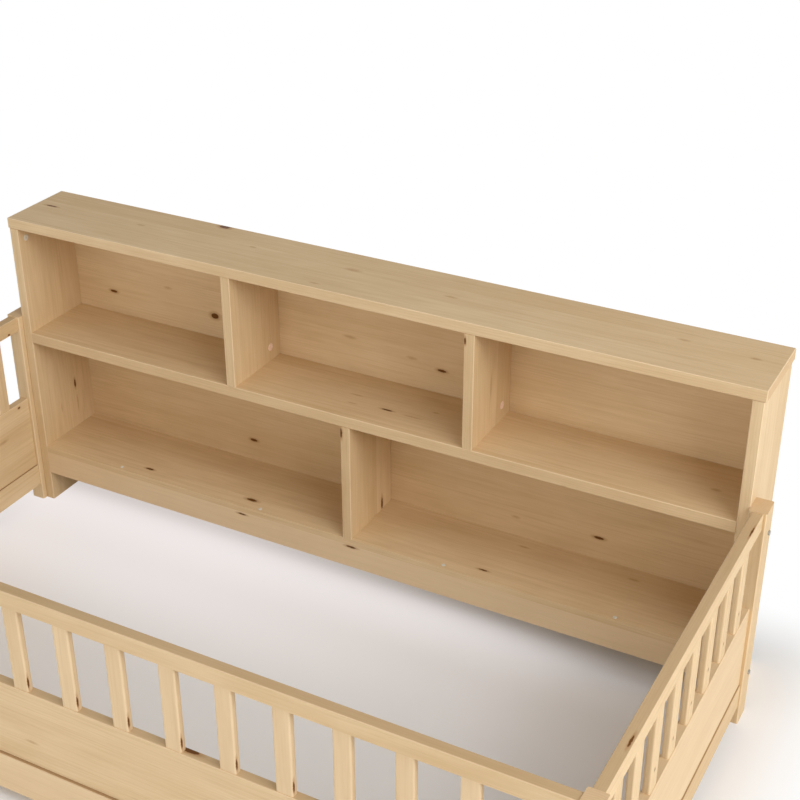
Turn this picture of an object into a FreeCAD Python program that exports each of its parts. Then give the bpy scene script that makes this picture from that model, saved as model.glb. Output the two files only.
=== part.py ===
import FreeCAD, Part
import math
import os

# A floor bed: a low bookcase stands along its whole rear side, and guards between four
# posts close the left end, the right end and the front. Each guard is a row of slats
# between a top rail and a wide board, whose lower edge sits in a thicker lower rail.
# Millimetres, +Z up. The origin lies on the floor under the middle of the whole bed,
# X runs along the bookcase and Y runs from the front guard to the back of the bookcase.

X_AXIS = FreeCAD.Vector(1, 0, 0)
Y_AXIS = FreeCAD.Vector(0, 1, 0)
Z_AXIS = FreeCAD.Vector(0, 0, 1)
CENTRE = FreeCAD.Vector(0, 0, 0)

# ---- Driving dimensions: bookcase ----
case_width = 2000.0
case_height = 860.0
case_depth = 220.0
top_thickness = 28.0
top_overhang = 4.0
side_thickness = 26.0
divider_thickness = 26.0
middle_shelf_thickness = 30.0
middle_shelf_top = 532.0
bottom_shelf_thickness = 18.0
bottom_shelf_top = 175.0
apron_height = 67.0
apron_thickness = 22.0
stretcher_height = 67.0
stretcher_thickness = 18.0
back_thickness = 6.0
rebate_width = 9.0
upper_bay_count = 3
lower_bay_count = 2

# ---- Driving dimensions: posts and guard ----
well_depth = 939.0
post_width = 40.0
post_depth = 58.0
post_height = 578.0
post_lap = 44.0
top_rail_thickness = 25.0
top_rail_height = 41.0
top_rail_top = 576.0
board_thickness = 22.0
board_top = 327.0
front_lower_rail_thickness = 36.0
front_lower_rail_height = 101.0
front_lower_rail_top = 128.0
front_guard_setback = 4.0
end_lower_rail_thickness = 30.0
end_lower_rail_height = 64.0
end_lower_rail_top = 112.0
slat_width = 40.0
slat_thickness = 17.0
slat_edge_radius = 5.5
front_slat_count = 16
front_slat_left_gap = 14.0
front_slat_right_gap = 49.0
end_slat_count = 8
end_slat_end_gap = 66.0

# ---- Driving dimensions: joints and hardware ----
tongue_length = 8.0
tongue_shoulder = 5.0
tongue_stop = 12.0
board_tongue_length = 8.0
rail_tenon_length = 10.0
rail_tenon_shoulder = 6.0
slat_tenon_length = 12.0
slat_tenon_shoulder = 5.0
bolt_radius = 3.0
bolt_head_size = 10.0
bolt_head_height = 4.0
nut_size = 13.0
nut_thickness = 5.0
nut_setback = 28.0
case_bolt_heights = (127.0, 510.0)
case_bolt_setback = 24.0
case_bolt_bite = 16.0

# ---- Edge easing and clearances ----
board_arris = 1.5
post_arris = 2.5
joint_clearance = 0.2
depth_clearance = 0.5
bore_clearance = 0.15
back_clearance = 0.5

# ---- Places worked out from the driving dimensions ----
half_width = case_width / 2
inner_half = half_width - side_thickness
side_height = case_height - top_thickness
overall_depth = case_depth + well_depth + post_depth
case_back = overall_depth / 2
case_front = case_back - case_depth
shelf_back = case_back - back_thickness
well_front = case_front - well_depth
front_post_front = well_front - post_depth
rear_post_front = case_front + post_lap - post_depth
middle_shelf_underside = middle_shelf_top - middle_shelf_thickness
bottom_shelf_underside = bottom_shelf_top - bottom_shelf_thickness
top_rail_underside = top_rail_top - top_rail_height
apron_bottom = bottom_shelf_underside - apron_height
stretcher_bottom = bottom_shelf_underside - stretcher_height
back_joint = middle_shelf_underside + middle_shelf_thickness / 2
tongue_depths = (case_front + tongue_stop, shelf_back - tongue_stop)

solids = {}
hardware = {}
cuts = {}


def block(x, y, z, eased="", arris=board_arris):
    """A box between pairs of coordinates, its edges along the named axes chamfered."""
    low = FreeCAD.Vector(x[0], y[0], z[0])
    solid = Part.makeBox(x[1] - x[0], y[1] - y[0], z[1] - z[0], low)
    edges = edges_along(solid, eased)
    return solid.makeChamfer(arris, edges) if edges else solid


def edges_along(solid, axes):
    """The straight edges of a solid that run along any of the named axes."""
    directions = [{"x": X_AXIS, "y": Y_AXIS, "z": Z_AXIS}[axis] for axis in axes]
    return [edge for edge in solid.Edges
            if any(abs(edge.tangentAt(edge.FirstParameter).dot(run)) > 0.99
                   for run in directions)]


def keep(store, name, solid):
    """Add one solid to the named list of a store."""
    store.setdefault(name, []).append(solid)


def placed(solid, turn, shift):
    """A copy turned about the vertical axis through the origin and then shifted."""
    copy = solid.copy()
    copy.rotate(CENTRE, Z_AXIS, turn)
    copy.translate(shift)
    return copy


def house(board, host, x, y, z, axis):
    """Give a board a tongue along an axis and cut its housing, a little larger, in the host."""
    solids[board] = solids[board].fuse(block(x, y, z)).removeSplitter()
    slack = [depth_clearance if name == axis else joint_clearance for name in "xyz"]
    housing = [(low - gap, high + gap) for (low, high), gap in zip((x, y, z), slack)]
    keep(cuts, host, block(*housing))


def sided(side, inner, outer):
    """The pair of X coordinates from inner to outer on the left (-1) or right (+1) side."""
    return tuple(sorted((side * inner, side * outer)))


def between_shoulders(low, high):
    """What is left between two faces when the tongue's shoulders are taken off."""
    return (low + tongue_shoulder, high - tongue_shoulder)


# ---- The bookcase ----

def make_side_panel(name, side):
    """An upright that carries the case and stands on the floor; side is -1 or +1."""
    panel = block(sided(side, inner_half, half_width), (case_front, case_back),
                  (0, side_height), eased="z")
    rebate = block(sided(side, inner_half, inner_half + rebate_width), (shelf_back, case_back),
                   (stretcher_bottom, side_height))
    solids[name] = panel.cut(rebate)


def make_top_board():
    """The top, which reaches a little past both uprights and has a rebate for the back."""
    reach = half_width + top_overhang
    board = block((-reach, reach), (case_front, case_back), (side_height, case_height),
                  eased="xyz")
    rebate = block((-inner_half - rebate_width, inner_half + rebate_width),
                   (shelf_back, case_back), (side_height, side_height + rebate_width))
    solids["top_board"] = board.cut(rebate)


def make_shelves():
    """The middle shelf, the bottom shelf, and the apron and stretcher under it."""
    span = (-inner_half, inner_half)
    depth = (case_front, shelf_back)
    solids["middle_shelf"] = block(span, depth, (middle_shelf_underside, middle_shelf_top), "x")
    solids["bottom_shelf"] = block(span, depth, (bottom_shelf_underside, bottom_shelf_top))
    solids["front_apron"] = block(span, (case_front, case_front + apron_thickness),
                                  (apron_bottom, bottom_shelf_underside))
    solids["rear_stretcher"] = block(span, (shelf_back - stretcher_thickness, shelf_back),
                                     (stretcher_bottom, bottom_shelf_underside))


def house_ends(panel, side):
    """Tongues that seat the shelves, apron, stretcher and top board on one side panel."""
    reach = sided(side, inner_half, inner_half + tongue_length)
    middle = between_shoulders(middle_shelf_underside, middle_shelf_top)
    bottom = between_shoulders(bottom_shelf_underside, bottom_shelf_top)
    apron_y = between_shoulders(case_front, case_front + apron_thickness)
    apron_z = between_shoulders(apron_bottom, bottom_shelf_underside)
    stretcher_y = between_shoulders(shelf_back - stretcher_thickness, shelf_back)
    stretcher_z = between_shoulders(stretcher_bottom, bottom_shelf_underside)
    house("middle_shelf", panel, reach, tongue_depths, middle, "x")
    house("bottom_shelf", panel, reach, tongue_depths, bottom, "x")
    house("front_apron", panel, reach, apron_y, apron_z, "x")
    house("rear_stretcher", panel, reach, stretcher_y, stretcher_z, "x")
    thickness = between_shoulders(*sided(side, inner_half, half_width))
    house(panel, "top_board", thickness, tongue_depths,
          (side_height, side_height + tongue_length), "z")


def make_divider(name, left, underside, top, lower_board, upper_board):
    """An upright board housed in the board below it and the board above it."""
    x = (left, left + divider_thickness)
    solids[name] = block(x, (case_front, shelf_back), (underside, top), eased="z")
    tongue_x = between_shoulders(*x)
    house(name, lower_board, tongue_x, tongue_depths, (underside - tongue_length, underside), "z")
    house(name, upper_board, tongue_x, tongue_depths, (top, top + tongue_length), "z")


def divider_places(count):
    """Left faces of the dividers that part the bookcase into equal bays."""
    bay = (2 * inner_half - (count - 1) * divider_thickness) / count
    return [-inner_half + (k + 1) * bay + k * divider_thickness for k in range(count - 1)]


def make_back_panels():
    """Two thin boards in the rebates, which meet behind the middle shelf."""
    reach = inner_half + rebate_width - back_clearance
    depth = (shelf_back, case_back)
    top = side_height + rebate_width - back_clearance
    solids["back_panel_lower"] = block((-reach, reach), depth, (stretcher_bottom, back_joint))
    solids["back_panel_upper"] = block((-reach, reach), depth,
                                       (back_joint + back_clearance, top))


def make_bookcase():
    """All the boards of the bookcase, housed in each other."""
    make_side_panel("side_panel_left", -1)
    make_side_panel("side_panel_right", 1)
    make_top_board()
    make_shelves()
    make_back_panels()
    house_ends("side_panel_left", -1)
    house_ends("side_panel_right", 1)
    for number, left in enumerate(divider_places(upper_bay_count), start=1):
        make_divider("upper_divider_%d" % number, left, middle_shelf_top, side_height,
                     "middle_shelf", "top_board")
    for number, left in enumerate(divider_places(lower_bay_count), start=1):
        make_divider("lower_divider_%d" % number, left, bottom_shelf_top,
                     middle_shelf_underside, "bottom_shelf", "middle_shelf")


# ---- Posts and bolts ----

def make_posts():
    """Four square-cut posts; the rear two lap the outer faces of the side panels."""
    for side, hand in ((-1, "left"), (1, "right")):
        x = sided(side, half_width, half_width + post_width)
        for row, front in (("rear", rear_post_front), ("front", front_post_front)):
            solids["post_%s_%s" % (row, hand)] = block(x, (front, front + post_depth),
                                                       (0, post_height), "z", post_arris)


def hex_bolt(face, axis, length):
    """A bolt whose hexagon head sits on a face, and the bore that takes its shank.

    The axis is X or -X, and length runs from the face to the bolt's end.
    """
    corner_radius = bolt_head_size / math.sqrt(3)
    corners = [face + FreeCAD.Vector(0, corner_radius * math.cos(math.radians(60 * k)),
                                     corner_radius * math.sin(math.radians(60 * k)))
               for k in range(7)]
    head = Part.Face(Part.makePolygon(corners)).extrude(axis * -bolt_head_height)
    shank = Part.makeCylinder(bolt_radius, length, face, axis)
    bore = Part.makeCylinder(bolt_radius + bore_clearance, length, face, axis)
    return head.fuse(shank), bore


def bolt_posts_to_case():
    """Bolts that go through each rear post and bite in the side panel."""
    for side, hand in ((-1, "left"), (1, "right")):
        inward = X_AXIS * -side
        for height in case_bolt_heights:
            face = FreeCAD.Vector(side * (half_width + post_width),
                                  case_front + case_bolt_setback, height)
            bolt, bore = hex_bolt(face, inward, post_width + case_bolt_bite)
            keep(hardware, "case_bolts", bolt)
            keep(cuts, "post_rear_" + hand, bore)
            keep(cuts, "side_panel_" + hand, bore)


def bolt_front_rail(rail, thickness, middle, run):
    """Draw a front rail to its posts: a bolt at each end and a square nut let into the rail.

    The rail runs along X about the origin; the nuts are let in from its rear face.
    """
    half_nut = nut_size / 2
    half_pocket = half_nut + joint_clearance
    pocket_run = nut_thickness / 2 + joint_clearance
    length = post_width + nut_setback + nut_thickness / 2
    bolts = []
    nuts = []
    bores = []
    for end in (-1, 1):
        face = FreeCAD.Vector(end * (run / 2 + post_width), 0, middle)
        bolt, bore = hex_bolt(face, X_AXIS * -end, length)
        nut_x = end * (run / 2 - nut_setback)
        nut = block((nut_x - nut_thickness / 2, nut_x + nut_thickness / 2),
                    (-half_nut, half_nut), (middle - half_nut, middle + half_nut))
        pocket = block((nut_x - pocket_run, nut_x + pocket_run), (-half_pocket, thickness / 2),
                       (middle - half_pocket, middle + half_pocket))
        rail = rail.cut(bore).cut(pocket)
        bolts.append(bolt)
        nuts.append(nut.cut(bore))
        bores.append(bore)
    return rail, bolts, nuts, bores


# ---- The slatted guard ----

def slat_tenons(centre_x, length, clearance):
    """The bar that forms both tenons of a slat, or with clearance their mortises."""
    half = slat_width / 2 - slat_tenon_shoulder + clearance
    thick = slat_thickness / 2 - slat_tenon_shoulder + clearance
    return block((centre_x - half, centre_x + half), (-thick, thick),
                 (board_top - length, top_rail_underside + length))


def make_slat(centre_x):
    """A round-edged slat with a stub tenon at each end."""
    half = slat_width / 2
    thick = slat_thickness / 2
    body = block((centre_x - half, centre_x + half), (-thick, thick),
                 (board_top, top_rail_underside))
    body = body.makeFillet(slat_edge_radius, edges_along(body, "z"))
    return body.fuse(slat_tenons(centre_x, slat_tenon_length, 0))


def rail_tenons(run, thickness, z, length, clearance):
    """The bar that forms both end tenons of a rail, or with clearance their mortises."""
    thick = thickness / 2 - rail_tenon_shoulder + clearance
    return block((-run / 2 - length, run / 2 + length), (-thick, thick),
                 (z[0] + rail_tenon_shoulder - clearance, z[1] - rail_tenon_shoulder + clearance))


def make_rail(run, thickness, z):
    """A rail or board with eased long edges and a stub tenon at each end."""
    body = block((-run / 2, run / 2), (-thickness / 2, thickness / 2), z, eased="x")
    return body.fuse(rail_tenons(run, thickness, z, rail_tenon_length, 0))


def board_tongue(run, lower_rail_top, length, clearance):
    """The tongue along the wide board's lower edge, or with clearance its groove."""
    thick = board_thickness / 2 - tongue_shoulder + clearance
    return block((-run / 2, run / 2), (-thick, thick),
                 (lower_rail_top - length, lower_rail_top + tongue_shoulder))


def guard_sections(lower_rail_thickness, lower_rail_height, lower_rail_top):
    """Thickness and heights of the three long pieces of a guard."""
    return {"top_rail": (top_rail_thickness, (top_rail_underside, top_rail_top)),
            "board": (board_thickness, (lower_rail_top, board_top)),
            "lower_rail": (lower_rail_thickness,
                           (lower_rail_top - lower_rail_height, lower_rail_top))}


def make_guard(run, sections, slat_count, end_gaps):
    """The long pieces and the slats of one guard, along X about the origin.

    The first and last slats stand off the posts by end_gaps, the rest evenly between them.
    """
    pieces = {part: make_rail(run, *section) for part, section in sections.items()}
    lower_rail_top = sections["lower_rail"][1][1]
    slat_pitch = (run - slat_width - sum(end_gaps)) / (slat_count - 1)
    first_centre = (slat_width - run) / 2 + end_gaps[0]
    slats = []
    mortises = []
    for k in range(slat_count):
        centre_x = first_centre + k * slat_pitch
        slats.append(make_slat(centre_x))
        mortises.append(slat_tenons(centre_x, slat_tenon_length + depth_clearance,
                                    joint_clearance))
    tongue = board_tongue(run, lower_rail_top, board_tongue_length, 0)
    groove = board_tongue(run, lower_rail_top, board_tongue_length + depth_clearance,
                          joint_clearance)
    pieces["top_rail"] = pieces["top_rail"].cut(Part.makeCompound(mortises))
    pieces["board"] = pieces["board"].cut(Part.makeCompound(mortises)).fuse(tongue)
    pieces["board"] = pieces["board"].removeSplitter()
    pieces["lower_rail"] = pieces["lower_rail"].cut(groove)
    return pieces, slats


def rail_mortises(run, sections):
    """The mortises that the end tenons of a guard's long pieces need in its posts."""
    length = rail_tenon_length + depth_clearance
    return [rail_tenons(run, thickness, z, length, joint_clearance)
            for thickness, z in sections.values()]


def make_front_guard():
    """The guard between the front posts, bolted to them, its slats one by one."""
    shift = FreeCAD.Vector(0, front_post_front + post_depth / 2 + front_guard_setback, 0)
    sections = guard_sections(front_lower_rail_thickness, front_lower_rail_height,
                              front_lower_rail_top)
    pieces, slats = make_guard(case_width, sections, front_slat_count,
                               (front_slat_left_gap, front_slat_right_gap))
    posts = ("post_front_left", "post_front_right")
    for part in ("top_rail", "lower_rail"):
        thickness, z = sections[part]
        pieces[part], bolts, nuts, bores = bolt_front_rail(pieces[part], thickness,
                                                           sum(z) / 2, case_width)
        for post, bolt, nut, bore in zip(posts, bolts, nuts, bores):
            keep(hardware, "guard_bolts", placed(bolt, 0, shift))
            keep(hardware, "square_nuts", placed(nut, 0, shift))
            keep(cuts, post, placed(bore, 0, shift))
    for part, piece in pieces.items():
        solids["front_" + part] = placed(piece, 0, shift)
    for number, slat in enumerate(slats, start=1):
        solids["front_slat_%02d" % number] = placed(slat, 0, shift)
    for mortise in rail_mortises(case_width, sections):
        for post in posts:
            keep(cuts, post, placed(mortise, 0, shift))


def make_end_guards():
    """The guards between a front and a rear post, glued up with them at each end."""
    run = rear_post_front - well_front
    sections = guard_sections(end_lower_rail_thickness, end_lower_rail_height,
                              end_lower_rail_top)
    for side, hand in ((-1, "left"), (1, "right")):
        shift = FreeCAD.Vector(side * (half_width + post_width / 2),
                               (rear_post_front + well_front) / 2, 0)
        pieces, slats = make_guard(run, sections, end_slat_count,
                                   (end_slat_end_gap, end_slat_end_gap))
        for part, piece in pieces.items():
            solids["%s_%s" % (hand, part)] = placed(piece, 90, shift)
        solids[hand + "_slats"] = Part.makeCompound([placed(slat, 90, shift) for slat in slats])
        for mortise in rail_mortises(run, sections):
            keep(cuts, "post_front_" + hand, placed(mortise, 90, shift))
            keep(cuts, "post_rear_" + hand, placed(mortise, 90, shift))


def main():
    """Make every piece, cut the housings and bores, and write one file for each node."""
    make_bookcase()
    make_posts()
    bolt_posts_to_case()
    make_front_guard()
    make_end_guards()
    for name, tools in cuts.items():
        solids[name] = solids[name].cut(Part.makeCompound(tools))
    for name, pieces in hardware.items():
        solids[name] = Part.makeCompound(pieces)
    os.makedirs("parts", exist_ok=True)
    for name, solid in solids.items():
        solid.exportStep("parts/%s.step" % name)
    print("%d nodes" % len(solids))


main()
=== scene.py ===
import math

import bpy
from mathutils import Matrix, Vector


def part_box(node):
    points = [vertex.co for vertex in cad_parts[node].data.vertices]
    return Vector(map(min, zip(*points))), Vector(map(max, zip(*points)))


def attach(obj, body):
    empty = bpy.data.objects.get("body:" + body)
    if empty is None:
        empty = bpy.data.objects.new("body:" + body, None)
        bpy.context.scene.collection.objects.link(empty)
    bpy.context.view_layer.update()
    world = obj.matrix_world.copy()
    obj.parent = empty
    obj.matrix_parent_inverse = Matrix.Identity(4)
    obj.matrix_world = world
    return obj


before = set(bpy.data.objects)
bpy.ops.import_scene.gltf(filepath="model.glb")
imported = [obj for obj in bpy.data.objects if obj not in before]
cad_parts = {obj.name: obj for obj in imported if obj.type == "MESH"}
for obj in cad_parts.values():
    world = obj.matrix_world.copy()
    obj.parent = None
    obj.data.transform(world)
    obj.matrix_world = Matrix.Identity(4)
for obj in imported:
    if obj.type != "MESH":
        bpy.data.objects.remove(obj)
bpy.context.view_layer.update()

# A pale pine floor bed with a bookcase along its rear side. Metres, +Z up, the frame's origin
# on the floor under the middle of the bed.

# ---- The camera ----

PICTURE_SIDE = 800
FOCAL_PIXELS = 1464.7
CAMERA_PLACE = Vector((1.569, -2.2725, 2.300))
CAMERA_TURN = Vector((2.0316, 0.5050, -0.2985))


def camera_axes():
    """The camera's right, down and ahead directions."""
    turn = Matrix.Rotation(CAMERA_TURN.length, 3, CAMERA_TURN.normalized())
    return turn[0].copy(), turn[1].copy(), turn[2].copy()


def make_camera():
    """The camera at the photograph's angle, with no shift."""
    right, down, ahead = camera_axes()
    data = bpy.data.cameras.new("camera")
    data.sensor_width = 36.0
    data.lens = FOCAL_PIXELS / PICTURE_SIDE * data.sensor_width
    camera = bpy.data.objects.new("camera", data)
    turn = Matrix((right, -down, -ahead)).transposed().to_4x4()
    camera.matrix_world = Matrix.Translation(CAMERA_PLACE) @ turn
    bpy.context.scene.collection.objects.link(camera)
    bpy.context.scene.camera = camera


def seen(column, row, face, node):
    """The point on one face of a node's box that shows at a pixel of the photograph."""
    right, down, ahead = camera_axes()
    middle = PICTURE_SIDE / 2
    ray = right * (column - middle) / FOCAL_PIXELS + down * (row - middle) / FOCAL_PIXELS + ahead
    axis = "xyz".index(face[1])
    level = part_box(node)[face[0] == "+"][axis]
    return CAMERA_PLACE + ray * ((level - CAMERA_PLACE[axis]) / ray[axis])


# ---- Nodes: values as expressions, everything else through one method ----

class Value:
    """An output socket; arithmetic on it adds Math nodes to its tree."""

    def __init__(self, nodes, socket):
        self.nodes = nodes
        self.socket = socket

    def maths(self, operation, first, second=0.0):
        return self.nodes.add("ShaderNodeMath", {"operation": operation}, {0: first, 1: second})

    def __add__(self, other):
        return self.maths("ADD", self, other)

    def __radd__(self, other):
        return self.maths("ADD", other, self)

    def __sub__(self, other):
        return self.maths("SUBTRACT", self, other)

    def __rsub__(self, other):
        return self.maths("SUBTRACT", other, self)

    def __mul__(self, other):
        return self.maths("MULTIPLY", self, other)

    def __rmul__(self, other):
        return self.maths("MULTIPLY", other, self)

    def __truediv__(self, other):
        return self.maths("DIVIDE", self, other)

    def __pow__(self, other):
        return self.maths("POWER", self, other)

    def __abs__(self):
        return self.maths("ABSOLUTE", self)

    def floor(self):
        return self.maths("FLOOR", self)

    def wave(self):
        """From 0 to 1 and back with each whole turn of the value."""
        return self.maths("SINE", self * math.tau) * 0.5 + 0.5

    def least(self, other):
        return self.maths("MINIMUM", self, other)

    def most(self, other):
        return self.maths("MAXIMUM", self, other)


class Nodes:
    """A node tree that is filled through add()."""

    def __init__(self, tree):
        self.tree = tree
        tree.nodes.clear()

    def add(self, kind, settings=None, sockets=None, out=0):
        """One node: its settings are set first, then the values or links of its sockets."""
        node = self.tree.nodes.new(kind)
        for name, value in (settings or {}).items():
            setattr(node, name, value)
        for name, value in (sockets or {}).items():
            if isinstance(value, Value):
                self.tree.links.new(value.socket, node.inputs[name])
            else:
                node.inputs[name].default_value = value
        return Value(self, node.outputs[out]) if len(node.outputs) else node

    def mix(self, first, second, share):
        """Two colours mixed by a share from 0 to 1."""
        return self.add("ShaderNodeMix", {"data_type": "RGBA", "clamp_factor": True},
                        {0: share, 6: first, 7: second}, 2)

    def rise(self, value, low, high):
        """A smooth step from 0 at low to 1 at high."""
        return self.add("ShaderNodeMapRange", {"interpolation_type": "SMOOTHSTEP"},
                        {0: value, 1: low, 2: high, 3: 0.0, 4: 1.0})

    def vector(self, x, y, z):
        return self.add("ShaderNodeCombineXYZ", {}, {0: x, 1: y, 2: z})

    def parts(self, vector):
        node = self.add("ShaderNodeSeparateXYZ", {}, {0: vector}).socket.node
        return [Value(self, output) for output in node.outputs]

    def noise(self, vector, detail, roughness=0.5):
        return self.add("ShaderNodeTexNoise", {},
                        {"Vector": vector, "Scale": 1.0, "Detail": detail,
                         "Roughness": roughness})


def srgb(red, green, blue):
    """A colour as read on a screen, 0 to 255, in the numbers that a shader takes."""
    parts = [channel / 255 for channel in (red, green, blue)]
    linear = [p / 12.92 if p <= 0.04045 else ((p + 0.055) / 1.055) ** 2.4 for p in parts]
    return (*linear, 1.0)


# ---- Pine ----

PALE = srgb(230, 203, 162)
HONEY = srgb(214, 183, 139)
LATE_WOOD = srgb(190, 154, 107)
# painted shade for the faces that look up
PAINTED_TOP_SHADE = srgb(160, 126, 86)
# a painted highlight, for the arrises and for the boards that are painted paler
PAINTED_HIGHLIGHT = srgb(238, 213, 178)
END_GRAIN = srgb(206, 172, 132)
HALO = srgb(160, 106, 54)
KNOT = srgb(102, 60, 10)
SCREW = srgb(128, 124, 116)

# The screws in the back: spacing along a row, radius of a head, and half the width and length
# of its cross slot's arms.
SCREW_PITCH = 0.236
SCREW_HEAD = 0.0038
SLOT_HALF_WIDTH = 0.0004
SLOT_REACH = 0.0022


def screw_heads(wood, x, z, looks_back, rows):
    """1 on the countersunk screw heads of some rows and 0 off them and in their cross slots."""
    column = (x / SCREW_PITCH).floor() + 0.5
    aside = x - column * SCREW_PITCH
    nearest = None
    for row in rows:
        height = z - row
        reach = (aside * aside + height * height) ** 0.5
        slot = abs(aside).least(abs(height)) - SLOT_HALF_WIDTH
        head = (SCREW_HEAD - reach).least(slot.most(reach - SLOT_REACH))
        nearest = head if nearest is None else nearest.most(head)
    return wood.rise(nearest, -0.0001, 0.0002) * wood.rise(looks_back, 0.90, 0.95)


# Growth rings in a metre, how far the finish shines, and how deep the grain is cut.
RINGS = 210.0
FINISH_SHINE = 0.2
GRAIN_STRENGTH = 0.22
GRAIN_DEPTH = 0.0006


def nearness(wood, place, knots):
    """Distance from the nearest knot, where 1 is its edge; far away where there is none."""
    nearest = None
    for centre, half in knots:
        offset = wood.add("ShaderNodeVectorMath", {"operation": "SUBTRACT"},
                          {0: place, 1: tuple(centre)})
        scaled = wood.add("ShaderNodeVectorMath", {"operation": "DIVIDE"},
                          {0: offset, 1: tuple(half)})
        distance = wood.add("ShaderNodeVectorMath", {"operation": "LENGTH"}, {0: scaled},
                            "Value")
        nearest = distance if nearest is None else nearest.least(distance)
    return nearest


def pine(name, order, centre, seed, strip=1.0, shift=0.5, knots=(), faint=(), screws=(),
         top_shade=0.0, painted_light=0.0):
    """Planed, clear-finished pine.

    order gives the axes along the grain, across the face and through the thickness. strip is
    the width of the staves that the board is glued from, and shift moves their joints. screws
    gives the heights of rows of countersunk screws in the face that looks back. The last two
    give how far painted shade darkens the faces that look up, and how far the board is painted
    paler, as painted light where more light falls on it.
    """
    material = bpy.data.materials.new(name)
    material.use_nodes = True
    wood = Nodes(material.node_tree)
    coordinates = wood.add("ShaderNodeTexCoord", out="Object")
    place = wood.add("ShaderNodeMapping", {"vector_type": "POINT"},
                     {"Vector": coordinates, "Location": tuple(-c for c in centre)})
    axes = dict(zip("xyz", wood.parts(place)))
    along, across, deep = (axes[axis] for axis in order)

    # staves, each with its own tone, heart and place along the tree
    stave = (across / strip + shift).floor()
    local = across - (stave + (0.5 - shift)) * strip
    chance = wood.add("ShaderNodeTexWhiteNoise", {"noise_dimensions": "1D"},
                      {"W": stave * 3.17 + seed * 1.37}, "Color")
    tone_chance, heart_chance, start_chance = wood.parts(chance)
    start = along + start_chance * 9.0 + seed * 0.71

    # knots, their outline roughened
    rough = wood.add("ShaderNodeTexNoise", {}, {"Vector": place, "Scale": 160.0, "Detail": 2.0},
                     "Color")
    jitter = wood.add("ShaderNodeVectorMath", {"operation": "MULTIPLY_ADD"},
                      {0: rough, 1: (0.003,) * 3, 2: (-0.0015,) * 3})
    blurred = wood.add("ShaderNodeVectorMath", {"operation": "ADD"}, {0: place, 1: jitter})
    dark = nearness(wood, blurred, knots)
    weak = nearness(wood, blurred, faint)
    core = 1 - wood.rise(dark, 0.82, 1.02) if dark else None
    halo = 1 - wood.rise(dark, 0.9, 2.1) if dark else None
    smudge = 1 - wood.rise(weak, 0.3, 1.5) if weak else None

    # growth rings round a heart below the board, bent round the knots
    drift = wood.noise(wood.vector(start * 1.3, local * 10.0, deep * 10.0), 3.0)
    side = local + (heart_chance - 0.5) * 0.05
    depth = deep + 0.035 + start_chance * 0.05
    radius = (side * side + depth * depth) ** 0.5
    phase = radius * RINGS + drift * 5.0 + start_chance * 4.0
    if halo:
        phase = phase + halo * 1.6
    ring = phase.wave() ** 3.0

    # fibres, pores and slow changes of tone
    fibre = wood.noise(wood.vector(start * 7.0, local * 240.0, deep * 240.0), 4.0, 0.65)
    streak = wood.noise(wood.vector(start * 2.2, local * 62.0, deep * 62.0), 3.0, 0.6)
    cloud = wood.noise(wood.vector(start * 1.6, local * 6.0, deep * 6.0), 2.0)
    mottle = wood.noise(wood.vector(start * 9.0, local * 26.0, deep * 26.0), 2.0)
    pore = wood.rise(wood.noise(wood.vector(start * 34.0, local * 620.0, deep * 620.0), 1.0),
                     0.64, 0.78)

    tone = cloud * 1.3 + mottle * 0.8 + tone_chance * 0.45 - 0.80
    colour = wood.mix(PALE, HONEY, tone)
    colour = wood.mix(colour, LATE_WOOD, ring * 0.12)
    colour = wood.mix(colour, LATE_WOOD, wood.rise(streak, 0.46, 0.72) * 0.17)
    colour = wood.mix(colour, LATE_WOOD, wood.rise(fibre, 0.42, 0.74) * 0.22 + pore * 0.20)
    # painted light: the board is painted paler, towards the highlight colour, as if more light
    # fell on it
    if painted_light:
        colour = wood.mix(colour, PAINTED_HIGHLIGHT, painted_light)

    # end grain, and a painted highlight on the arrises, told by which way the surface faces
    normal = wood.parts(wood.add("ShaderNodeTexCoord", out="Normal"))
    facing = [abs(part) for part in normal]
    ends = wood.rise(facing["xyz".index(order[0])], 0.80, 0.95)
    arris = 1 - wood.rise(facing[0].most(facing[1]).most(facing[2]), 0.80, 0.97)
    colour = wood.mix(colour, END_GRAIN, ends * (0.45 + ring * 0.35))
    colour = wood.mix(colour, PAINTED_HIGHLIGHT, arris * 0.45)
    # painted shade on the faces that look up, such as rail tops and the ledges of the lower rails
    if top_shade:
        colour = wood.mix(colour, PAINTED_TOP_SHADE, wood.rise(normal[2], 0.55, 0.95) * top_shade)

    if smudge:
        colour = wood.mix(colour, HALO, smudge * (0.20 + fibre * 0.4))
    if core:
        colour = wood.mix(colour, HALO, halo * 0.48)
        colour = wood.mix(colour, KNOT, core)
    if screws:
        head = screw_heads(wood, axes["x"], axes["z"], normal[1], screws)
        colour = wood.mix(colour, SCREW, head)

    height = fibre * 0.5 + ring * 0.25 - pore * 0.6
    roughness = 0.50 + fibre * 0.14 + ends * 0.12
    if core:
        height = height - core * 0.8
        roughness = roughness - core * 0.12
    bump = wood.add("ShaderNodeBump", {},
                    {"Strength": GRAIN_STRENGTH, "Distance": GRAIN_DEPTH, "Height": height})
    shader = wood.add("ShaderNodeBsdfPrincipled", {},
                      {"Base Color": colour, "Roughness": roughness, "Normal": bump,
                       "Specular IOR Level": FINISH_SHINE})
    wood.add("ShaderNodeOutputMaterial", {}, {"Surface": shader})
    return material


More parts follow.
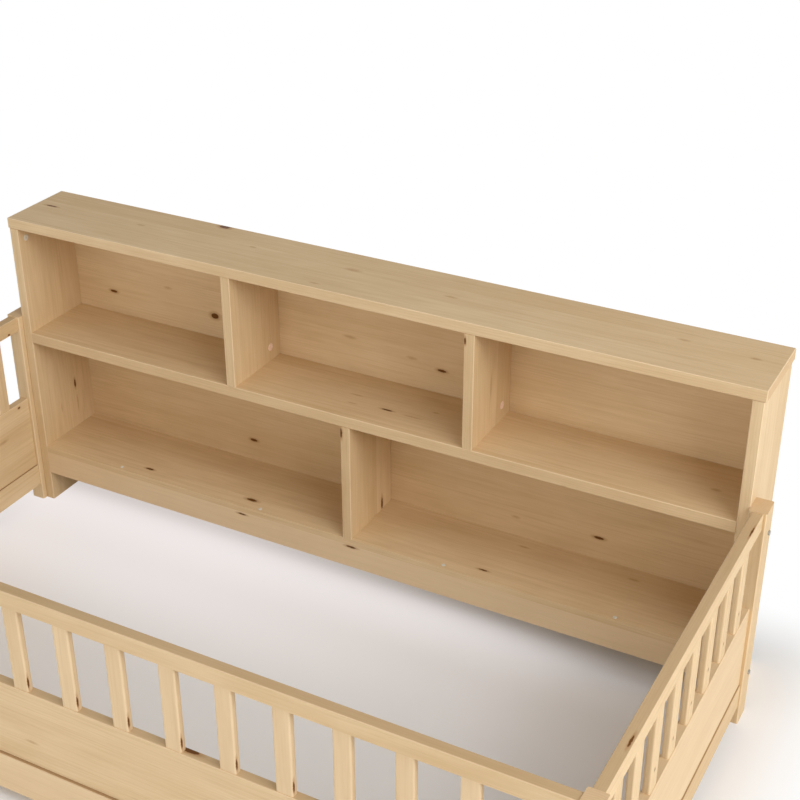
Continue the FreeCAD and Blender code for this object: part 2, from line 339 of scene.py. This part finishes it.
# Knots as seen in the photograph: node, face, column, row, length and width in millimetres.
DARK_KNOTS = [
    ("top_board", "+z", 52, 206, 36, 7),
    ("top_board", "+z", 225, 227, 32, 18),
    ("back_panel_upper", "-y", 114, 291, 24, 8),
    ("back_panel_upper", "-y", 215, 316, 25, 17),
    ("back_panel_upper", "-y", 442, 371, 26, 8),
    ("back_panel_lower", "-y", 254, 440, 24, 9),
    ("back_panel_lower", "-y", 599, 538, 28, 8),
    ("side_panel_left", "+x", 75, 383, 26, 7),
    ("bottom_shelf", "+z", 150, 469, 26, 8),
    ("bottom_shelf", "+z", 252, 500, 32, 11),
    ("bottom_shelf", "+z", 483, 570, 25, 6),
    ("middle_shelf", "+z", 387, 410, 30, 6),
    ("front_apron", "-y", 242, 514, 26, 5),
    ("front_apron", "-y", 351, 547, 30, 6),
    ("front_apron", "-y", 618, 661, 28, 6),
    ("lower_divider_1", "+x", 382, 503, 36, 9),
    ("upper_divider_2", "-y", 465, 341, 18, 5),
    ("lower_divider_1", "-y", 341, 433, 28, 7),
    ("right_top_rail", "+z", 752, 532, 40, 4),
    ("right_top_rail", "+z", 631, 741, 36, 5),
    ("front_board", "+z", 191, 751, 42, 12),
    ("left_board", "+x", 19, 408, 9, 6),
    ("left_top_rail", "+x", 9, 335, 7, 5),
]

FAINT_KNOTS = [
    ("top_board", "+z", 141, 225, 24, 8),
    ("top_board", "+z", 253, 247, 20, 8),
    ("top_board", "+z", 353, 270, 46, 14),
    ("top_board", "+z", 314, 283, 30, 8),
    ("top_board", "+z", 451, 297, 34, 8),
    ("top_board", "+z", 684, 340, 30, 9),
    ("top_board", "+z", 756, 359, 26, 9),
    ("back_panel_upper", "-y", 168, 288, 26, 8),
    ("back_panel_upper", "-y", 350, 337, 40, 8),
    ("back_panel_upper", "-y", 412, 358, 30, 8),
    ("back_panel_lower", "-y", 262, 367, 20, 7),
    ("back_panel_lower", "-y", 516, 517, 24, 8),
    ("back_panel_lower", "-y", 525, 465, 30, 10),
    ("middle_shelf", "+z", 412, 417, 56, 6),
    ("middle_shelf", "+z", 357, 395, 34, 6),
    ("middle_shelf", "+z", 352, 403, 30, 6),
    ("middle_shelf", "+z", 436, 413, 18, 6),
    ("middle_shelf", "+z", 716, 490, 24, 12),
    ("middle_shelf", "-y", 564, 487, 18, 7),
    ("bottom_shelf", "+z", 634, 580, 30, 8),
    ("bottom_shelf", "+z", 524, 547, 30, 8),
    ("upper_divider_2", "+x", 491, 387, 70, 8),
    ("side_panel_left", "+x", 78, 402, 60, 5),
    ("side_panel_left", "+x", 62, 408, 30, 4),
    ("left_board", "+x", 3, 443, 40, 10),
    ("front_board", "-y", 32, 742, 34, 7),
    ("front_board", "-y", 60, 705, 30, 6),
]

# A short dark mark by the foot of each front slat, on its right front arris.
SLAT_FOOT_MARK = ((0.0196, -0.0048, -0.0800), (0.0015, 0.0024, 0.0150))

# An end guard's slats: how many, and how wide each is.
END_SLATS = 8
END_SLAT_WIDTH = 0.040

# The pieces that are steel; the rest are pine.
STEEL_NODES = ("case_bolts", "guard_bolts", "square_nuts")

# How far painted shade darkens the faces that look up on each piece.
TOP_SHADE_SHARE = {"top_rail": 0.45, "front_board": 0.25, "left_board": 0.25,
                 "right_board": 0.25, "lower_rail": 0.85, "top_board": 0.10}

# Boards painted paler than the rest, as painted light where more light falls on them.
PAINTED_LIGHT_SHARE = {"front_apron": 0.45, "front_lower_rail": 0.30, "front_slat": 0.25,
         "right_board": 0.30}

# Rows of screws in the back of the bookcase: heights above the middle of each sheet.
SCREW_ROWS = {"back_panel_upper": (-0.158, 0.158), "back_panel_lower": (-0.204, -0.136, 0.206)}

# How the grain lies in each node: along, across the face, through the thickness; then the
# width of its staves and where their joints fall.
LONG_BOARDS = {
    "top_board": ("xyz", 0.074, 0.5),
    "middle_shelf": ("xyz", 0.074, 0.2),
    "bottom_shelf": ("xyz", 0.074, 0.8),
    "front_apron": ("xzy", 1.0, 0.5),
    "rear_stretcher": ("xzy", 1.0, 0.5),
    "back_panel_lower": ("xzy", 0.120, 0.4),
    "back_panel_upper": ("xzy", 0.120, 0.1),
    "side_panel_left": ("zyx", 0.140, 0.82),
    "side_panel_right": ("zyx", 0.140, 0.82),
    "upper_divider_1": ("zyx", 0.140, 0.80),
    "upper_divider_2": ("zyx", 0.140, 0.80),
    "lower_divider_1": ("zyx", 0.140, 0.80),
    "front_top_rail": ("xzy", 1.0, 0.5),
    "front_board": ("xzy", 0.100, 0.5),
    "front_lower_rail": ("xzy", 1.0, 0.5),
    "left_top_rail": ("yzx", 1.0, 0.5),
    "left_board": ("yzx", 0.108, 0.5),
    "left_lower_rail": ("yzx", 1.0, 0.5),
    "left_slats": ("zyx", 0.10757, 0.0),
    "right_top_rail": ("yzx", 1.0, 0.5),
    "right_board": ("yzx", 0.108, 0.5),
    "right_lower_rail": ("yzx", 1.0, 0.5),
    "right_slats": ("zyx", 0.10757, 0.0),
}


def knots_of(listed, node, order, centre):
    """The listed knots of one node: place from its centre and half sizes along each axis."""
    found = []
    for owner, face, column, row, length, width in listed:
        if owner == node:
            half = {axis: width / 2000 for axis in "xyz"}
            half[order[0]] = length / 2000
            half[face[1]] = max(half[face[1]], 0.006)
            found.append((seen(column, row, face, node) - centre,
                          tuple(half[axis] for axis in "xyz")))
    return found


def slat_knots(node, centre):
    """The dark mark of a front slat, or the small knots low on the outer faces of an end guard's.
    """
    if node.startswith("front_slat"):
        return [SLAT_FOOT_MARK]
    low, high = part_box(node)
    pitch = (high.y - low.y - END_SLAT_WIDTH) / (END_SLATS - 1)
    middle = (END_SLATS - 1) / 2
    side = 1 if centre.x > 0 else -1
    return [((side * 0.0085, (k - middle) * pitch - 0.004, -0.062 + 0.005 * (k % 3)),
             (0.004, 0.0022, 0.0042)) for k in range(END_SLATS)]


def share_of(shares, node):
    """The share listed for a node by part of its name, or none."""
    return sum(share for part, share in shares.items() if part in node)


def dress_cad_nodes():
    """Every piece of the frame gets its finish: pine cut along its own grain, or metal."""
    metal = bright_steel("zinc_plated_steel")
    for seed, (node, cad) in enumerate(sorted(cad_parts.items()), start=1):
        low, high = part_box(node)
        centre = (low + high) / 2
        if node in STEEL_NODES:
            material = metal
        else:
            order, strip, shift = LONG_BOARDS.get(node, ("zxy", 1.0, 0.5))
            dark = knots_of(DARK_KNOTS, node, order, centre)
            if "slat" in node:
                dark += slat_knots(node, centre)
            faint = knots_of(FAINT_KNOTS, node, order, centre)
            material = pine("pine_" + node, order, centre, seed, strip, shift, dark, faint,
                            SCREW_ROWS.get(node, ()), share_of(TOP_SHADE_SHARE, node),
                            share_of(PAINTED_LIGHT_SHARE, node))
        cad.data.materials.clear()
        cad.data.materials.append(material)


# ---- Other finishes ----

def bright_steel(name):
    """Zinc-plated steel, slightly brushed and dulled."""
    material = bpy.data.materials.new(name)
    material.use_nodes = True
    metal = Nodes(material.node_tree)
    place = metal.add("ShaderNodeTexCoord", out="Object")
    x, y, z = metal.parts(place)
    brushed = metal.noise(metal.vector(x * 300.0, y * 2600.0, z * 2600.0), 3.0)
    cloud = metal.noise(metal.vector(x * 90.0, y * 90.0, z * 90.0), 2.0)
    colour = metal.mix(srgb(196, 196, 190), srgb(150, 148, 142), cloud)
    bump = metal.add("ShaderNodeBump", {},
                     {"Strength": 0.15, "Distance": 0.0002, "Height": brushed})
    shader = metal.add("ShaderNodeBsdfPrincipled", {},
                       {"Base Color": colour, "Metallic": 1.0,
                        "Roughness": 0.30 + brushed * 0.16, "Normal": bump})
    metal.add("ShaderNodeOutputMaterial", {}, {"Surface": shader})
    return material


def cap_plastic(name, main, worn):
    """Moulded plastic with a fine grain and dust in it."""
    material = bpy.data.materials.new(name)
    material.use_nodes = True
    plastic = Nodes(material.node_tree)
    place = plastic.add("ShaderNodeTexCoord", out="Object")
    grain = plastic.add("ShaderNodeTexNoise", {},
                        {"Vector": place, "Scale": 1800.0, "Detail": 2.0})
    dust = plastic.add("ShaderNodeTexNoise", {}, {"Vector": place, "Scale": 240.0, "Detail": 3.0})
    colour = plastic.mix(main, worn, plastic.rise(dust, 0.45, 0.75))
    bump = plastic.add("ShaderNodeBump", {},
                       {"Strength": 0.2, "Distance": 0.0001, "Height": grain})
    shader = plastic.add("ShaderNodeBsdfPrincipled", {},
                         {"Base Color": colour, "Roughness": 0.34 + dust * 0.2, "Normal": bump})
    plastic.add("ShaderNodeOutputMaterial", {}, {"Surface": shader})
    return material


# ---- Caps: one tree puts a turned cap on every point ----

CAP_SIDES = 20
CAP_RIM = 0.0008
CAP_CROWN = 0.0007
SHELF_CAP_RADIUS = 0.0048
COVER_RADIUS = 0.0085
DIVIDER_COVER_RADIUS = 0.0100


def cap_tree(name):
    """A tree that stands one round cap on each vertex, turned towards a given direction.

    A cap is a disc raised in two steps, a straight rim and a smaller crown, with a shallow
    round dish in its middle.
    """
    tree = bpy.data.node_groups.new(name, "GeometryNodeTree")
    sockets = (("Points", "NodeSocketGeometry"), ("Facing", "NodeSocketVector"),
               ("Radius", "NodeSocketFloat"), ("Rim", "NodeSocketFloat"),
               ("Crown", "NodeSocketFloat"), ("Finish", "NodeSocketMaterial"))
    for label, kind in sockets:
        tree.interface.new_socket(label, in_out="INPUT", socket_type=kind)
    tree.interface.new_socket("Caps", in_out="OUTPUT", socket_type="NodeSocketGeometry")
    made = Nodes(tree)
    given = tree.nodes.new("NodeGroupInput")
    points, facing, radius, rim, crown, finish = (Value(made, given.outputs[k])
                                                  for k in range(len(sockets)))

    def raised(mesh, faces, height):
        """The chosen faces pushed out by a height, and the faces that end up on top."""
        node = made.add("GeometryNodeExtrudeMesh", {"mode": "FACES"},
                        {"Mesh": mesh, "Selection": faces, "Offset": upward,
                         "Offset Scale": height, "Individual": False})
        return node, Value(made, node.socket.node.outputs["Top"])

    def narrowed(mesh, faces, share):
        return made.add("GeometryNodeScaleElements", {"domain": "FACE"},
                        {"Geometry": mesh, "Selection": faces, "Scale": share})

    upward = made.vector(0.0, 0.0, 1.0)
    disc = made.add("GeometryNodeMeshCircle", {"fill_type": "NGON"},
                    {"Vertices": CAP_SIDES, "Radius": radius})
    body, top = raised(disc, True, rim)
    body, top = raised(body, top, crown)
    body, top = raised(narrowed(body, top, 0.80), top, 0.0)
    body, top = raised(narrowed(body, top, 0.55), top, crown * -0.5)
    turn = made.add("FunctionNodeAlignRotationToVector", {"axis": "Z"}, {"Vector": facing})
    stood = made.add("GeometryNodeInstanceOnPoints", {},
                     {"Points": points, "Instance": body, "Rotation": turn})
    real = made.add("GeometryNodeRealizeInstances", {}, {"Geometry": stood})
    done = made.add("GeometryNodeSetMaterial", {}, {"Geometry": real, "Material": finish})
    result = tree.nodes.new("NodeGroupOutput")
    tree.links.new(done.socket, result.inputs[0])
    return tree


def stand_caps(name, tree, places, facing, radius, finish):
    """Caps on a list of places, all facing one way, as one plain mesh on the bed's body."""
    seeds = bpy.data.meshes.new(name + "_places")
    seeds.from_pydata(places, [], [])
    holder = bpy.data.objects.new(name + "_places", seeds)
    bpy.context.scene.collection.objects.link(holder)
    modifier = holder.modifiers.new("caps", "NODES")
    modifier.node_group = tree
    values = {"Facing": facing, "Radius": radius, "Rim": CAP_RIM, "Crown": CAP_CROWN,
              "Finish": finish}
    for item in tree.interface.items_tree:
        if item.in_out == "INPUT" and item.name in values:
            modifier[item.identifier] = values[item.name]
    evaluated = holder.evaluated_get(bpy.context.evaluated_depsgraph_get())
    mesh = bpy.data.meshes.new_from_object(evaluated)
    holder.modifiers.remove(modifier)
    bpy.data.objects.remove(holder)
    piece = bpy.data.objects.new(name, mesh)
    bpy.context.scene.collection.objects.link(piece)
    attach(piece, "root")


# ---- Floor, light and background ----

BED_HALF_LENGTH = 1.044
BED_HALF_WIDTH = 0.6085
SHADOW_REACH = 0.26
FLOOR_HALF_SIDE = 30.0
FLOOR_MATT = (0.85, 0.85, 0.85, 1.0)
FLOOR_NEAR = (0.92, 0.92, 0.92, 1.0)
# the colour of the painted light that lifts the floor's shade
FLOOR_GLOW = (0.95, 0.89, 0.88, 1.0)
WHITE = (1.0, 1.0, 1.0, 1.0)
FILL_LIGHT = 0.28
LAMP_SIDE = 3.0
LAMPS_AIM = Vector((0.0, 0.0, 0.4))
LAMPS = [
    ("right_low", (5.168, 0.0, 2.281), 86.0),
    ("overhead", (0.0, -0.479, 5.879), 38.0),
    ("front_low", (0.0, -5.416, 1.355), 72.0),
    ("left_front_low", (-3.482, -4.149, 1.355), 34.0),
    ("right_front_high", (4.083, -1.904, 3.555), 128.0),
]


def seen_directly(nodes):
    """1 for rays from the camera, a reflection or a refraction, and 0 for scattered light."""
    outputs = nodes.add("ShaderNodeLightPath").socket.node.outputs
    straight, mirrored, bent = (Value(nodes, outputs[name]) for name in
                                ("Is Camera Ray", "Is Glossy Ray", "Is Transmission Ray"))
    return straight.most(mirrored).most(bent)


def make_floor():
    """A plain pale floor that keeps the bed's soft shadow and turns pure white further off.

    Seen directly, painted light lifts its shade inside the frame, towards the left end and the
    apron.
    """
    mesh = bpy.data.meshes.new("floor")
    side = FLOOR_HALF_SIDE
    mesh.from_pydata([(-side, -side, 0), (side, -side, 0), (side, side, 0), (-side, side, 0)],
                     [], [(0, 1, 2, 3)])
    floor = bpy.data.objects.new("floor", mesh)
    bpy.context.scene.collection.objects.link(floor)
    material = bpy.data.materials.new("floor")
    material.use_nodes = True
    white = Nodes(material.node_tree)
    x, y = white.parts(white.add("ShaderNodeTexCoord", out="Object"))[:2]
    past_x = (abs(x) - BED_HALF_LENGTH).most(0.0)
    past_y = (abs(y) - BED_HALF_WIDTH).most(0.0)
    away = white.rise((past_x * past_x + past_y * past_y) ** 0.5, 0.0, SHADOW_REACH)
    # painted light on the floor seen directly, lifting the bed's shade inside the frame towards
    # the left end and along the apron
    lengthways = white.rise(x, 0.80, -0.60) * white.rise(y, -0.15, 0.22) * 0.60
    by_apron = white.rise(y, 0.22, 0.42) * (1 - white.rise(y, 0.42, 0.50))
    by_apron = by_apron * (white.rise(x, 0.85, 0.15) * 0.42 + 0.10)
    lifted = 1 - (1 - lengthways) * (1 - by_apron)
    matt = white.add("ShaderNodeBsdfDiffuse", {}, {"Color": FLOOR_MATT})
    near = white.add("ShaderNodeBsdfDiffuse", {}, {"Color": FLOOR_NEAR})
    painted_glow = white.add("ShaderNodeEmission", {}, {"Color": FLOOR_GLOW, "Strength": 1.0})
    clear = white.add("ShaderNodeEmission", {}, {"Color": WHITE, "Strength": 1.0})
    near = white.add("ShaderNodeMixShader", {}, {0: lifted, 1: near, 2: painted_glow})
    shown = white.add("ShaderNodeMixShader", {}, {0: away, 1: near, 2: clear})
    surface = white.add("ShaderNodeMixShader", {}, {0: seen_directly(white), 1: matt, 2: shown})
    white.add("ShaderNodeOutputMaterial", {}, {"Surface": surface})
    mesh.materials.append(material)


def make_world():
    """Even light from all round, and white behind the bed."""
    world = bpy.data.worlds.new("world")
    bpy.context.scene.world = world
    world.use_nodes = True
    sky = Nodes(world.node_tree)
    direct = seen_directly(sky)
    background = sky.add("ShaderNodeBackground", {},
                         {"Color": WHITE, "Strength": direct + (1 - direct) * FILL_LIGHT})
    sky.add("ShaderNodeOutputWorld", {}, {"Surface": background})


def add_lamp(name, place, power):
    """A large soft white lamp that faces the bed."""
    data = bpy.data.lights.new(name, "AREA")
    data.shape = "SQUARE"
    data.size = LAMP_SIDE
    data.energy = power
    lamp = bpy.data.objects.new(name, data)
    lamp.location = place
    towards = LAMPS_AIM - Vector(place)
    lamp.rotation_euler = towards.to_track_quat("-Z", "Y").to_euler()
    bpy.context.scene.collection.objects.link(lamp)


# ---- The scene ----

make_camera()
bpy.context.scene.view_settings.view_transform = "Standard"
make_floor()
make_world()
for lamp_name, lamp_place, lamp_power in LAMPS:
    add_lamp(lamp_name, lamp_place, lamp_power)

dress_cad_nodes()

white_cap = cap_plastic("white_cap", srgb(226, 222, 210), srgb(200, 192, 176))
pink_cap = cap_plastic("pinkish_cap", srgb(246, 216, 198), srgb(224, 188, 164))
caps = cap_tree("turned_cap")

shelf_low, shelf_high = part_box("bottom_shelf")
shelf_caps = [Vector((x, shelf_low.y + 0.011, shelf_high.z))
              for x in (-0.719, -0.269, 0.269, 0.719)]
stand_caps("shelf_screw_caps", caps, shelf_caps, Vector((0, 0, 1)), SHELF_CAP_RADIUS,
           white_cap)

for hand, side in (("left", 1), ("right", -1)):
    place = Vector((side * -0.974, shelf_low.y + 0.029, 0.800))
    stand_caps("cam_cover_" + hand, caps, [place], Vector((side, 0, 0)), COVER_RADIUS,
               white_cap)
for number in (1, 2):
    divider_low, divider_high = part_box("upper_divider_%d" % number)
    place = Vector((divider_high.x, divider_low.y + 0.168, 0.571))
    stand_caps("cam_cover_divider_%d" % number, caps, [place], Vector((1, 0, 0)),
               DIVIDER_COVER_RADIUS, pink_cap)
